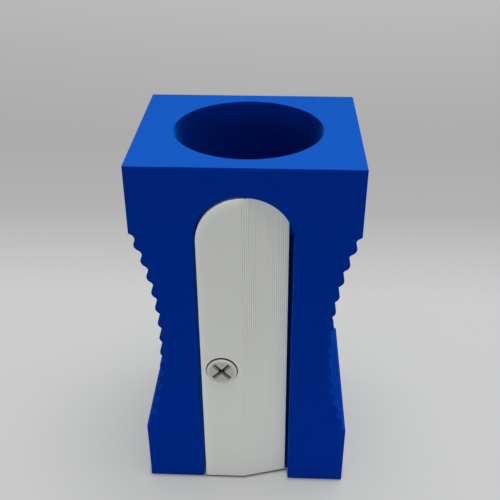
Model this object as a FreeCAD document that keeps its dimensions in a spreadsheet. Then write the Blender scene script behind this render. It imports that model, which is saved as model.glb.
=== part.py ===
import FreeCAD, Part
import enum
import math
import os

import Sketcher

# A desk pencil holder in the shape of a giant wedge sharpener: a ribbed block with a round well, a bevelled
# blade plate in a channel of its front, and the screw that holds the plate.
# Millimetres and degrees. +Z is up, the front looks along -Y, the origin is the middle of the underside.

DRIVING = {
    # The block and its pencil well.
    "block_height": 143.0,
    "well_diameter": 54.0,
    "well_floor": 10.0,
    # The waist on each side: a hollow arc of ribs, narrowest at waist_height.
    "waist_wall": 3.6,
    "waist_inset": 7.9,
    "waist_height": 72.7,
    "waist_radius": 127.0,
    "rib_depth": 1.5,
    "rib_angle": 3.03,
    # The arched channel in the front, open at the foot, with a deeper slit along the blade's edge.
    "channel_width": 34.9,
    "channel_depth": 5.8,
    "channel_wall": 1.2,
    "channel_cover": 10.5,
    "slit_depth": 3.0,
    # The blade plate, which lies on the channel's floor and thins to its right from a crease left of the middle.
    "blade_clearance": 0.55,
    "blade_foot": 0.35,
    "blade_recess": 0.4,
    "blade_edge_gap": 1.75,
    "blade_edge": 0.8,
    "blade_crease": 1.0,
    # The screw, placed from the channel's left wall and from the foot.
    "screw_inset": 8.45,
    "screw_height": 57.7,
    "head_diameter": 11.3,
    "head_clearance": 0.5,
    "head_seat": 2.0,
    "head_rise": 0.6,
    "head_dome": 0.9,
    "slot_length": 9.0,
    "slot_width": 1.4,
    "slot_depth": 2.2,
    "slot_turn": 45.0,
    "shank_diameter": 5.0,
    "shank_clearance": 0.08,
    "shank_bite": 1.0,
    "shank_end_gap": 0.2,
    "tip_chamfer": 0.4,
}

DERIVED = {
    # The walls round the well set the block's width and depth.
    "crest_half_width": "well_diameter / 2 + waist_wall + rib_depth",
    "block_half_width": "crest_half_width + waist_inset",
    "block_depth": "well_diameter + 2 * (channel_depth + channel_wall)",
    "block_front": "block_depth / 2",
    "well_depth": "block_height - well_floor",
    # The waist's arc turns about a point beside the block.
    "waist_centre": "crest_half_width + waist_radius",
    # One radius rounds crests and grooves alike, so that each circle touches the next. It is the root of a
    # quadratic, where chord_square is the square of half a pitch's chord on a circle of radius 1.
    "chord_square": "2 * (1 - cos(rib_angle / 2))",
    "round_slope": "rib_depth * (4 - chord_square)",
    "round_rest": "rib_depth^2 + chord_square * waist_radius * (waist_radius + rib_depth)",
    "round_root": "sqrt(round_slope^2 + 4 * chord_square * round_rest)",
    "rib_round": "(round_root - round_slope) / (2 * chord_square)",
    # One pitch of the ribs, seen from the arc's centre: crest tops, crest circles and the cut's far side.
    "crest_x": "-waist_radius * cos(rib_angle / 2)",
    "crest_y": "waist_radius * sin(rib_angle / 2)",
    "round_x": "-(waist_radius + rib_round) * cos(rib_angle / 2)",
    "round_y": "(waist_radius + rib_round) * sin(rib_angle / 2)",
    "groove_x": "rib_round - rib_depth - waist_radius",
    "far_radius": "waist_radius - 2 * waist_inset",
    "far_x": "-far_radius * cos(rib_angle)",
    "far_y": "far_radius * sin(rib_angle)",
    # Whole pitches, counted from the narrowest crest until the crests lie outside the block.
    "waist_angle": "acos((waist_centre - block_half_width) / waist_radius) / 1deg",
    "rib_count": "2 * ceil(waist_angle / rib_angle)",
    "first_rib": "rib_angle * (1 - rib_count) / 2",
    "channel_half_width": "channel_width / 2",
    "channel_arch": "block_height - channel_cover - channel_half_width",
    "channel_floor": "block_front - channel_depth",
    "blade_half_width": "channel_half_width - blade_clearance",
    "blade_right": "channel_half_width - blade_edge_gap",
    "blade_thickness": "channel_depth - blade_recess",
    "blade_face": "block_front - blade_recess",
    "blade_edge_face": "channel_floor + blade_edge",
    "screw_x": "screw_inset - channel_half_width",
    "seat_plane": "blade_face - head_seat",
    "seat_diameter": "head_diameter + 2 * head_clearance",
    "head_radius": "head_diameter / 2",
    "head_rim": "blade_face + head_rise",
    "dome_top": "head_rim + head_dome",
    "dome_centre": "dome_top - (head_radius^2 + head_dome^2) / (2 * head_dome)",
    "slot_half_length": "slot_length / 2",
    "slot_half_width": "slot_width / 2",
    "shank_radius": "shank_diameter / 2",
    "shank_hole": "shank_diameter + 2 * shank_clearance",
    "shank_end": "channel_floor - shank_bite",
    "shank_shoulder": "shank_end + tip_chamfer",
    "tip_radius": "shank_radius - tip_chamfer",
    "socket_depth": "shank_bite + shank_end_gap",
}


class Axis(enum.IntEnum):
    """The two axes of a sketch."""

    ACROSS = -1
    UP = -2


class Vertex(enum.IntEnum):
    """The points of an edge, or of the across axis, that a constraint can hold."""

    START = 1
    END = 2
    CENTRE = 3


def make_sheet(doc):
    """Write the driving numbers, and the formulas that follow from them, into one spreadsheet."""
    sheet = doc.addObject("Spreadsheet::Sheet", "sizes")
    cells = {name: str(value) for name, value in DRIVING.items()}
    cells.update({name: "=" + formula for name, formula in DERIVED.items()})
    for row, (name, text) in enumerate(cells.items(), start=1):
        sheet.set(f"A{row}", name)
        sheet.set(f"B{row}", text)
        sheet.setAlias(f"B{row}", name)
    doc.recompute()


def number(doc, term):
    """The value of a term, which is 0, a cell's name or a minus sign and a cell's name."""
    if term == "0":
        return 0.0
    value = getattr(doc.sizes, term.lstrip("-"))
    value = float(getattr(value, "Value", value))
    return -value if term.startswith("-") else value


def formula(term):
    """The expression that reads a term from the spreadsheet."""
    return term.replace(term.lstrip("-"), "sizes." + term.lstrip("-"))


class Outline:
    """A sketch on one of a body's own planes, whose points are placed by cells of the spreadsheet."""

    def __init__(self, body, role, name, across="0", up="0", lift="0", turn=None):
        """across and up move the sketch in its plane, lift moves it along its normal, turn turns it."""
        self.doc = body.Document
        self.sketch = body.newObject("Sketcher::SketchObject", name)
        plane = next(item for item in body.Origin.OriginFeatures if item.Role == role)
        self.sketch.AttachmentSupport = [(plane, "")]
        self.sketch.MapMode = "FlatFace"
        for path, term in (("x", across), ("y", up), ("z", lift)):
            if term != "0":
                self.sketch.setExpression(".AttachmentOffset.Base." + path, formula(term))
        if turn:
            self.sketch.setExpression(".AttachmentOffset.Rotation.Angle", turn)

    def point(self, x, y):
        """A point of the sketch as numbers."""
        return FreeCAD.Vector(number(self.doc, x), number(self.doc, y), 0)

    def tie(self, kind, *geometry, term=None):
        """Add one constraint, bound to a cell where it carries a size."""
        if term is None:
            self.sketch.addConstraint(Sketcher.Constraint(kind, *geometry))
            return
        constraint = Sketcher.Constraint(kind, *geometry, number(self.doc, term))
        index = self.sketch.addConstraint(constraint)
        self.sketch.setExpression(f"Constraints[{index}]", formula(term))

    def place(self, geometry, vertex, x=None, y=None):
        """Place a vertex by its distances from the sketch's origin; 0 puts it on the axis."""
        for kind, axis, term in (("DistanceX", Axis.UP, x), ("DistanceY", Axis.ACROSS, y)):
            if term == "0":
                self.tie("PointOnObject", geometry, vertex, axis)
            elif term:
                self.tie(kind, Axis.ACROSS, Vertex.START, geometry, vertex, term=term)

    def line(self, start, end):
        """Add a straight edge between two points."""
        return self.sketch.addGeometry(Part.LineSegment(start, end))

    def arc(self, centre, start, end):
        """Add an arc about a centre that runs anticlockwise from one point to another."""
        ring = Part.Circle(centre, FreeCAD.Vector(0, 0, 1), centre.distanceToPoint(start))
        angles = [math.atan2(item.y - centre.y, item.x - centre.x) for item in (start, end)]
        return self.sketch.addGeometry(Part.ArcOfCircle(ring, *angles))

    def path(self, corners):
        """Add straight edges through corners given as pairs of cells, each corner placed by its cells."""
        points = [self.point(*corner) for corner in corners]
        edges = [self.line(start, end) for start, end in zip(points, points[1:])]
        for edge, following in zip(edges, edges[1:]):
            self.tie("Coincident", edge, Vertex.END, following, Vertex.START)
        for edge, corner in zip(edges, corners):
            self.place(edge, Vertex.START, *corner)
        self.place(edges[-1], Vertex.END, *corners[-1])
        return edges

    def polygon(self, corners):
        """Close a ring of straight edges."""
        edges = self.path(corners)
        closing = self.line(self.point(*corners[-1]), self.point(*corners[0]))
        self.tie("Coincident", edges[-1], Vertex.END, closing, Vertex.START)
        self.tie("Coincident", closing, Vertex.END, edges[0], Vertex.START)
        return self.sketch

    def circle(self, diameter):
        """Add a circle about the sketch's own origin."""
        centre = FreeCAD.Vector(0, 0, 0)
        ring = Part.Circle(centre, FreeCAD.Vector(0, 0, 1), number(self.doc, diameter) / 2)
        index = self.sketch.addGeometry(ring)
        self.tie("Coincident", index, Vertex.CENTRE, Axis.ACROSS, Vertex.START)
        self.tie("Diameter", index, term=diameter)
        return self.sketch


def new_body(doc, label):
    """Start a sub-part, whose label names its file."""
    body = doc.addObject("PartDesign::Body", label)
    body.Label = label
    return body


def pad(body, sketch, name, length, both_ways=False):
    """Raise a solid from a sketch along its normal, or half to each side of it."""
    feature = body.newObject("PartDesign::Pad", name)
    feature.Profile = sketch
    feature.SideType = "Symmetric" if both_ways else "One side"
    feature.setExpression("Length", formula(length))
    body.Document.recompute()
    return feature


def cut(body, sketch, name, length=None):
    """Cut a sketch into the body against its normal, to a length or right through both ways."""
    before = body.Shape.Volume
    feature = body.newObject("PartDesign::Pocket", name)
    feature.Profile = sketch
    if length:
        feature.setExpression("Length", formula(length))
    else:
        feature.SideType = "Symmetric"
        feature.Type = "ThroughAll"
    body.Document.recompute()
    require_less(body, before, name)
    return feature


def repeat(body, feature, sketch, name, angle, count):
    """Repeat a cut about the normal axis through its sketch's origin."""
    before = body.Shape.Volume
    pattern = body.newObject("PartDesign::PolarPattern", name)
    pattern.Originals = [feature]
    pattern.Axis = (sketch, ["N_Axis"])
    pattern.Mode = "Spacing"
    pattern.setExpression("Offset", angle)
    pattern.setExpression("Occurrences", count)
    body.Tip = pattern
    body.Document.recompute()
    require_less(body, before, name)
    return pattern


def require_less(body, before, name):
    """Stop if a cut took nothing away."""
    if not body.Shape.Volume < before:
        raise RuntimeError(f"{name} cuts nothing from {body.Label}")


def rib_pitch(body, name, across, turn):
    """One pitch of the ribs as the space outside them: half a crest, a groove and half a crest."""
    outline = Outline(body, "XZ_Plane", name, across=across, up="waist_height", turn=turn)
    corners = [("crest_x", "crest_y"), ("far_x", "far_y"), ("far_x", "-far_y"), ("crest_x", "-crest_y")]
    edges = outline.path(corners)
    groove_centre = outline.point("groove_x", "0")
    centres = [outline.point("round_x", sign + "round_y") for sign in ("", "-")]
    upper_touch, lower_touch = ((groove_centre + centre) / 2 for centre in centres)
    upper = outline.arc(centres[0], upper_touch, outline.point(*corners[0]))
    groove = outline.arc(groove_centre, upper_touch, lower_touch)
    lower = outline.arc(centres[1], outline.point(*corners[3]), lower_touch)
    outline.tie("Coincident", upper, Vertex.END, edges[0], Vertex.START)
    outline.tie("Coincident", lower, Vertex.START, edges[-1], Vertex.END)
    outline.place(upper, Vertex.CENTRE, "round_x", "round_y")
    outline.place(lower, Vertex.CENTRE, "round_x", "-round_y")
    outline.tie("Tangent", upper, Vertex.START, groove, Vertex.START)
    outline.tie("Tangent", groove, Vertex.END, lower, Vertex.END)
    outline.tie("Radius", groove, term="rib_round")
    return outline.sketch


def arched(body, name, half_width, foot, lift, right=None):
    """An arch over a straight foot: both sides run into the arch, or the right side stands further in."""
    outline = Outline(body, "XZ_Plane", name, lift=lift)
    reach = right or half_width
    centre = outline.point("0", "channel_arch")
    rise = math.sqrt(number(outline.doc, half_width) ** 2 - number(outline.doc, reach) ** 2)
    shoulder = outline.point(reach, "channel_arch") + FreeCAD.Vector(0, rise, 0)
    spring = outline.point("-" + half_width, "channel_arch")
    feet = [("-" + half_width, foot), (reach, foot)]
    left = outline.line(spring, outline.point(*feet[0]))
    (base,) = outline.path(feet)
    side = outline.line(outline.point(*feet[1]), shoulder)
    arch = outline.arc(centre, shoulder, spring)
    outline.tie("Coincident", left, Vertex.END, base, Vertex.START)
    outline.tie("Coincident", base, Vertex.END, side, Vertex.START)
    outline.tie("Vertical", left)
    outline.tie("Vertical", side)
    outline.tie("Tangent", arch, Vertex.END, left, Vertex.START)
    if right:
        outline.tie("Coincident", side, Vertex.END, arch, Vertex.START)
        outline.place(arch, Vertex.CENTRE, "0", "channel_arch")
    else:
        outline.tie("Tangent", side, Vertex.END, arch, Vertex.START)
        outline.place(arch, Vertex.CENTRE, None, "channel_arch")
    return outline.sketch


def make_block(doc):
    """The block: ribbed waists at both sides, an arched channel with a slit in front, and a round well."""
    body = new_body(doc, "holder_block")
    face = Outline(body, "XZ_Plane", "block_face")
    corners = [("-block_half_width", "0"), ("block_half_width", "0"),
               ("block_half_width", "block_height"), ("-block_half_width", "block_height")]
    pad(body, face.polygon(corners), "block", "block_depth", both_ways=True)
    for side, across, half_turn in (("right", "waist_centre", 0), ("left", "-waist_centre", 180)):
        pitch = rib_pitch(body, f"{side}_rib_pitch", across, f"sizes.first_rib + {half_turn}")
        groove = cut(body, pitch, f"{side}_groove")
        repeat(body, groove, pitch, f"{side}_ribs", "sizes.rib_angle", "sizes.rib_count")
    channel = arched(body, "channel_rim", "channel_half_width", "0", "block_front")
    cut(body, channel, "channel", "channel_depth")
    slit = Outline(body, "XZ_Plane", "slit_outline", lift="channel_floor")
    corners = [("blade_right", "0"), ("channel_half_width", "0"),
               ("channel_half_width", "channel_arch"), ("blade_right", "channel_arch")]
    cut(body, slit.polygon(corners), "slit", "slit_depth")
    well = Outline(body, "XY_Plane", "well_rim", lift="block_height")
    cut(body, well.circle("well_diameter"), "well", "well_depth")
    socket = Outline(body, "XZ_Plane", "socket_rim", "screw_x", "screw_height", "channel_floor")
    cut(body, socket.circle("shank_hole"), "socket", "socket_depth")
    return body


def make_blade(doc):
    """The blade plate: an arched plate, bevelled from a crease to its right edge, with the screw's seat."""
    body = new_body(doc, "blade_plate")
    plate = arched(body, "plate_rim", "blade_half_width", "blade_foot", "channel_floor", "blade_right")
    pad(body, plate, "plate", "blade_thickness")
    bevel = Outline(body, "XY_Plane", "bevel_outline")
    corners = [("-blade_crease", "-blade_face"), ("blade_right", "-blade_face"),
               ("blade_right", "-blade_edge_face")]
    cut(body, bevel.polygon(corners), "bevel")
    seat = Outline(body, "XZ_Plane", "seat_rim", "screw_x", "screw_height", "blade_face")
    cut(body, seat.circle("seat_diameter"), "seat", "head_seat")
    hole = Outline(body, "XZ_Plane", "hole_rim", "screw_x", "screw_height", "blade_face")
    cut(body, hole.circle("shank_hole"), "hole")
    return body


def make_screw(doc):
    """The screw: a domed head with a cross slot, and a plain shank with a chamfered tip."""
    body = new_body(doc, "blade_screw")
    half = Outline(body, "XY_Plane", "screw_profile", across="screw_x", lift="screw_height")
    corners = [("head_radius", "-head_rim"), ("head_radius", "-seat_plane"),
               ("shank_radius", "-seat_plane"), ("shank_radius", "-shank_shoulder"),
               ("tip_radius", "-shank_end"), ("0", "-shank_end"), ("0", "-dome_top")]
    edges = half.path(corners)
    dome = half.arc(half.point("0", "-dome_centre"), half.point(*corners[-1]), half.point(*corners[0]))
    half.tie("Coincident", dome, Vertex.START, edges[-1], Vertex.END)
    half.tie("Coincident", dome, Vertex.END, edges[0], Vertex.START)
    half.tie("PointOnObject", dome, Vertex.CENTRE, Axis.UP)
    turned = body.newObject("PartDesign::Revolution", "screw_turned")
    turned.Profile = half.sketch
    turned.ReferenceAxis = (half.sketch, ["V_Axis"])
    doc.recompute()
    slot = Outline(body, "XZ_Plane", "slot_outline", "screw_x", "screw_height", "dome_top", "sizes.slot_turn")
    signs = [("-", "-"), ("", "-"), ("", ""), ("-", "")]
    arm = cut(body, slot.polygon([(x + "slot_half_length", y + "slot_half_width") for x, y in signs]),
              "slot", "slot_depth")
    repeat(body, arm, slot.sketch, "cross", "90", "2")
    return body


def check(doc, bodies):
    """Stop if anything failed to build or a sub-part isn't one sound solid."""
    doc.recompute()
    for item in doc.Objects:
        if "Invalid" in item.State or "Error" in item.State:
            raise RuntimeError(f"{item.Label} failed: {item.State}")
    for body in bodies:
        if body.Shape.isNull() or not body.Shape.isValid() or len(body.Shape.Solids) != 1:
            raise RuntimeError(f"{body.Label} isn't one valid solid")


def main():
    doc = FreeCAD.newDocument("pencil_holder")
    make_sheet(doc)
    bodies = [make_block(doc), make_blade(doc), make_screw(doc)]
    check(doc, bodies)
    os.makedirs("parts", exist_ok=True)
    for body in bodies:
        body.Shape.exportStep(f"parts/{body.Label}.step")
        print(f"{body.Label}: {body.Shape.Volume:.1f} cubic mm, {len(body.Shape.Faces)} faces")


main()
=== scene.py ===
"""The looks of a desk pencil holder in the shape of a giant wedge sharpener, printed in plastic.

Metres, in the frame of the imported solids: +Z is up, the front looks along -Y, and the origin is the middle of
the underside.
"""
import logging
import math
from dataclasses import dataclass
from enum import Enum
from functools import cached_property
from typing import Self

import bmesh
import bpy
import numpy as np
from mathutils import Matrix, Vector


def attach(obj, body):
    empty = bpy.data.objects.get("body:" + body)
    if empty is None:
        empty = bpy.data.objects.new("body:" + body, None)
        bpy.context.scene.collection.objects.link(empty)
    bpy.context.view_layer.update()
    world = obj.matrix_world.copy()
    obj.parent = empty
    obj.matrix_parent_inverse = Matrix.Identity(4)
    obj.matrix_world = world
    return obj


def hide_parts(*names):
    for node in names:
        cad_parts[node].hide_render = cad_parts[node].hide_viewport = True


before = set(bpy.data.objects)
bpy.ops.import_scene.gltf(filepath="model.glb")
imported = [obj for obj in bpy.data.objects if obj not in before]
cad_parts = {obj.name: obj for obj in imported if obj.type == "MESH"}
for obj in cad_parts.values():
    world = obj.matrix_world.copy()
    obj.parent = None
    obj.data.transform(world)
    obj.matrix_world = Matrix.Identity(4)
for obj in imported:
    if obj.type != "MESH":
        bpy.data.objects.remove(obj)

Pair = tuple[float, float]
Triple = tuple[float, float, float]

log = logging.getLogger("pencil_holder")

MM = 0.001
WELD = 0.0005 * MM
SLIVER = 0.0002 * MM
FLAT_WEIGHT = 80


@dataclass(frozen=True)
class Waist:
    """The hollow arc of ribs at each side of the block. Its middle lies beside the block."""

    height: float = 72.7 * MM
    radius: float = 127.0 * MM
    centre: float = 159.1 * MM
    rib_depth: float = 1.5 * MM
    rib_angle: float = math.radians(3.03)
    ribs: int = 14


@dataclass(frozen=True)
class BladeSeat:
    """How blade and screw lie in the block: the plate is swung about the screw and narrows upwards."""

    screw: Pair = (-9.0 * MM, 58.2 * MM)
    head_drop: float = 0.2 * MM
    plane: float = 31.6 * MM
    hole_radius: float = 2.58 * MM
    swing: float = 0.0062
    taper: float = 0.147
    taper_foot: float = 26.0 * MM
    arch: float = 114.98 * MM
    crease: float = -0.9 * MM
    right: float = 15.7 * MM


WAIST = Waist()
SEAT = BladeSeat()


class Shell:
    """Grids of points, joined by quads into one closed mesh."""

    def __init__(self, name: str) -> None:
        """Start an empty shell.

        Args:
            name: the piece's name.
        """
        self.name = name
        self.points: list[np.ndarray] = []
        self.faces: list[np.ndarray] = []
        self.count = 0

    def add(self, grid: np.ndarray) -> np.ndarray:
        """Keep a grid of points.

        Args:
            grid: points as rows, columns and XYZ.

        Returns:
            The points' numbers, as rows and columns.
        """
        rows, columns = grid.shape[:2]
        numbers = np.arange(self.count, self.count + rows * columns).reshape(rows, columns)
        self.points.append(grid.reshape(-1, 3))
        self.count += rows * columns
        return numbers

    def skin(self, numbers: np.ndarray, wrap: bool = False, keep: np.ndarray | None = None) -> None:
        """Join neighbouring rows and columns of a grid by quads.

        Args:
            numbers: the points' numbers, as rows and columns.
            wrap: whether the last column joins the first.
            keep: which quads to keep, as rows and columns; all of them by default.
        """
        if wrap:
            numbers = np.concatenate([numbers, numbers[:, :1]], axis=1)
        quads = np.stack([numbers[:-1, :-1], numbers[:-1, 1:], numbers[1:, 1:], numbers[1:, :-1]], axis=-1)
        self.faces.append(quads.reshape(-1, 4) if keep is None else quads[keep])

    def cap(self, loop: np.ndarray) -> None:
        """Close a flat ring of points by one face."""
        self.faces.append(loop.reshape(1, -1))

    def build(self, crease: float = 30.0) -> bpy.types.Object:
        """Put the points and faces into a mesh, weld its seams and turn its faces outwards.

        Args:
            crease: the angle in degrees past which an edge stays sharp.

        Returns:
            The finished object, at the origin.
        """
        mesh = bpy.data.meshes.new(self.name)
        corners = np.concatenate([part.ravel() for part in self.faces])
        sides = np.concatenate([np.full(len(part), part.shape[1]) for part in self.faces])
        mesh.vertices.add(self.count)
        mesh.vertices.foreach_set("co", np.concatenate(self.points).astype(np.float32).ravel())
        mesh.loops.add(len(corners))
        mesh.loops.foreach_set("vertex_index", corners.astype(np.int32))
        mesh.polygons.add(len(sides))
        starts = np.concatenate([[0], np.cumsum(sides)[:-1]])
        mesh.polygons.foreach_set("loop_start", starts.astype(np.int32))
        mesh.update(calc_edges=True)
        weld = bmesh.new()
        weld.from_mesh(mesh)
        bmesh.ops.remove_doubles(weld, verts=weld.verts, dist=WELD)
        bmesh.ops.dissolve_degenerate(weld, edges=weld.edges, dist=SLIVER)
        loose = [vertex for vertex in weld.verts if not vertex.link_faces]
        bmesh.ops.delete(weld, geom=loose, context="VERTS")
        bmesh.ops.recalc_face_normals(weld, faces=weld.faces)
        weld.to_mesh(mesh)
        weld.free()
        mesh.shade_smooth()
        mesh.set_sharp_from_angle(angle=math.radians(crease))
        piece = bpy.data.objects.new(self.name, mesh)
        bpy.context.scene.collection.objects.link(piece)
        return piece


def window_rim(numbers: np.ndarray, rows: slice, columns: slice) -> np.ndarray:
    """Walk round a rectangle of a grid.

    Args:
        numbers: the grid's point numbers, as rows and columns.
        rows: the rectangle's first row and the row past its last.
        columns: its first column and the column past its last.

    Returns:
        The point numbers along its border, each once, from the first corner round.
    """
    part = numbers[rows, columns]
    return np.concatenate([part[0, :-1], part[:-1, -1], part[-1, :0:-1], part[:0:-1, 0]])


def ring_blend(outer: np.ndarray, inner: np.ndarray, steps: np.ndarray) -> np.ndarray:
    """Blend one ring into another: outer times (1 - s) plus inner times s, for each step s.

    Args:
        outer: a ring of points.
        inner: a ring with as many points.
        steps: the shares of the way, one for each new ring.

    Returns:
        The rings in between as a grid.
    """
    share = steps[:, None, None]
    return outer[None] * (1 - share) + inner[None] * share


def quarter(count: int) -> np.ndarray:
    """Angles from 0 to a quarter turn."""
    return np.linspace(0.0, math.pi / 2, count)


def full_turn(count: int) -> np.ndarray:
    """Even angles of a whole turn, without its end."""
    return np.linspace(0.0, 2 * math.pi, count, endpoint=False)


def unit_circle(turn: np.ndarray) -> np.ndarray:
    """A circle of radius 1 about Z: cosine and sine of each angle."""
    return np.stack([np.cos(turn), np.sin(turn)], -1)


def lifted(rings: np.ndarray, heights: np.ndarray) -> np.ndarray:
    """Give each ring of XY points the height Z that goes with it."""
    return np.concatenate([rings, np.broadcast_to(heights[:, None, None], (*rings.shape[:2], 1))], -1)


def upright_circle(turn: np.ndarray) -> np.ndarray:
    """A circle of radius 1 about Y: cosine, 0 and sine of each angle."""
    return np.stack([np.cos(turn), np.zeros_like(turn), np.sin(turn)], -1)


def leg(long: float | np.ndarray, short: np.ndarray) -> np.ndarray:
    """The other leg of a right triangle, sqrt(l^2 - s^2), or 0 where there is none."""
    return np.sqrt(np.maximum(long ** 2 - short ** 2, 0.0))


def setback(radius: float, past: np.ndarray) -> np.ndarray:
    """How far a rounded edge draws back at p past the rounding's start: r - sqrt(r^2 - p^2)."""
    return radius - leg(radius, past)


@dataclass(frozen=True)
class Signal:
    """A number or colour that nodes give from place to place. What is worked out from it is nodes again."""

    wires: "Wiring"
    socket: bpy.types.NodeSocket

    def __add__(self, other: object) -> Self:
        """The sum with a signal or a number."""
        return self.wires.math("ADD", self, other)

    def __sub__(self, other: object) -> Self:
        """This less a signal or a number."""
        return self.wires.math("SUBTRACT", self, other)

    def __rsub__(self, other: float) -> Self:
        """A number less this."""
        return self.wires.math("SUBTRACT", other, self)

    def __mul__(self, other: object) -> Self:
        """The product with a signal or a number."""
        return self.wires.math("MULTIPLY", self, other)

    def __pow__(self, power: float) -> Self:
        """A power of a number that isn't negative."""
        return self.wires.math("POWER", self, power)

    def __abs__(self) -> Self:
        """The number without its sign."""
        return self.wires.math("ABSOLUTE", self)

    def at_least(self, least: float) -> Self:
        """The number, or the given one where that is larger."""
        return self.wires.math("MAXIMUM", self, least)

    def span(self, start: float, end: float, low: float = 0.0, high: float = 1.0, soft: bool = False) -> Self:
        """Lead one range of numbers into another, and hold what lies outside at its ends.

        Args:
            start: where the first range begins.
            end: where it ends.
            low: the result where it begins.
            high: the result where it ends.
            soft: whether the way between is the curve s^2 (3 - 2 s) and not a straight line.

        Returns:
            The result.
        """
        curve = {"interpolation_type": "SMOOTHSTEP" if soft else "LINEAR"}
        return self.wires.result("MapRange", curve, Value=self, From_Min=start, From_Max=end, To_Min=low,
                                 To_Max=high)


class Wiring:
    """Short ways to place and join the nodes of one material or world."""

    RIDGE_MEAN = 0.375
    MIX_INPUTS = (0, 6, 7)
    MIX_OUTPUT = 2

    def __init__(self, owner: bpy.types.Material | bpy.types.World) -> None:
        """Clear the owner's nodes.

        Args:
            owner: the material or world to wire.
        """
        owner.use_nodes = True
        self.tree = owner.node_tree
        self.tree.nodes.clear()

    @cached_property
    def frames(self) -> bpy.types.NodeOutputs:
        """The outputs of the piece's own coordinates."""
        return self.node("TexCoord").outputs

    @cached_property
    def axes(self) -> list[Signal]:
        """X, Y and Z in the piece's own frame."""
        return self.parts("Object")

    def parts(self, vector: str) -> list[Signal]:
        """The parts along X, Y and Z of the Object place or the Normal."""
        split = self.node("SeparateXYZ", Vector=Signal(self, self.frames[vector]))
        return [Signal(self, socket) for socket in split.outputs]

    def node(self, kind: str, settings: dict | None = None, **inputs: object) -> bpy.types.Node:
        """Place a node.

        Args:
            kind: the node's type, without its prefix.
            settings: properties of the node.
            inputs: signals or values for its inputs, with _ for a space in a name.

        Returns:
            The node.
        """
        made = self.tree.nodes.new("ShaderNode" + kind)
        for name, value in (settings or {}).items():
            setattr(made, name, value)
        for name, value in inputs.items():
            self.feed(made.inputs[name.replace("_", " ")], value)
        return made

    def result(self, kind: str, settings: dict | None = None, **inputs: object) -> Signal:
        """Place a node as above, and read its first output."""
        return Signal(self, self.node(kind, settings, **inputs).outputs[0])

    def feed(self, socket: bpy.types.NodeSocket, value: object) -> None:
        """Fill an input.

        Args:
            socket: the input.
            value: a signal to link it to, or a plain value.
        """
        if isinstance(value, Signal):
            self.tree.links.new(value.socket, socket)
        else:
            socket.default_value = value

    def math(self, operation: str, *values: object, kind: str = "Math") -> Signal:
        """Work out one number or vector.

        Args:
            operation: the node's operation.
            values: its inputs, as signals or plain values.
            kind: Math for numbers or VectorMath for vectors.

        Returns:
            The result.
        """
        made = self.node(kind, {"operation": operation})
        for socket, value in zip(made.inputs, values):
            self.feed(socket, value)
        return Signal(self, made.outputs[0])

    def reach(self, across: Signal, up: Signal) -> Signal:
        """The distance with the given parts along two axes: the root of the sum of their squares."""
        return self.math("SQRT", across * across + up * up)

    def ridge(self, turn: Signal) -> Signal:
        """A ridge for each full turn: the square of half of 1 plus the cosine, whose mean is RIDGE_MEAN."""
        return (self.math("COSINE", turn) * 0.5 + 0.5) ** 2

    def noise(self, grains: Triple, detail: float = 2.0) -> Signal:
        """Read a noise that is stretched along the axes.

        Args:
            grains: how many grains it has per metre along X, Y and Z.
            detail: its octaves.

        Returns:
            Its value, about 0.5 in the middle.
        """
        stretched = self.math("MULTIPLY", Signal(self, self.frames["Object"]), grains, kind="VectorMath")
        return self.result("TexNoise", Vector=stretched, Scale=1.0, Detail=detail)

    def blend(self, share: Signal, low: object, high: object) -> Signal:
        """Mix two colours.

        Args:
            share: how much of the second colour shows.
            low: the first colour.
            high: the second colour.

        Returns:
            The mixed colour.
        """
        made = self.node("Mix", {"data_type": "RGBA"})
        for place, value in zip(self.MIX_INPUTS, (share, low, high)):
            self.feed(made.inputs[place], value)
        return Signal(self, made.outputs[self.MIX_OUTPUT])

    def scaled(self, colour: Signal, share: Signal) -> Signal:
        """Lighten or darken a colour: each of its parts times the share."""
        return self.math("MULTIPLY", colour, share, kind="VectorMath")

    def seen(self) -> Signal:
        """Tell what the camera looks at from other light.

        Returns:
            1 for its own rays and for those by way of a gloss or a clear piece, and 0 for other light.
        """
        rays = self.node("LightPath").outputs
        straight, glossy, clear = (Signal(self, rays[f"Is {kind} Ray"])
                                   for kind in ("Camera", "Glossy", "Transmission"))
        return straight + glossy + clear


class LayerStack(Enum):
    """The axis that a printed piece's layers are stacked along, as its place among X, Y and Z."""

    OUTWARD = 1
    UP = 2

    @property
    def beside(self) -> int:
        """The other one of the two, which the layers spread along."""
        return 3 - self.value


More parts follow.
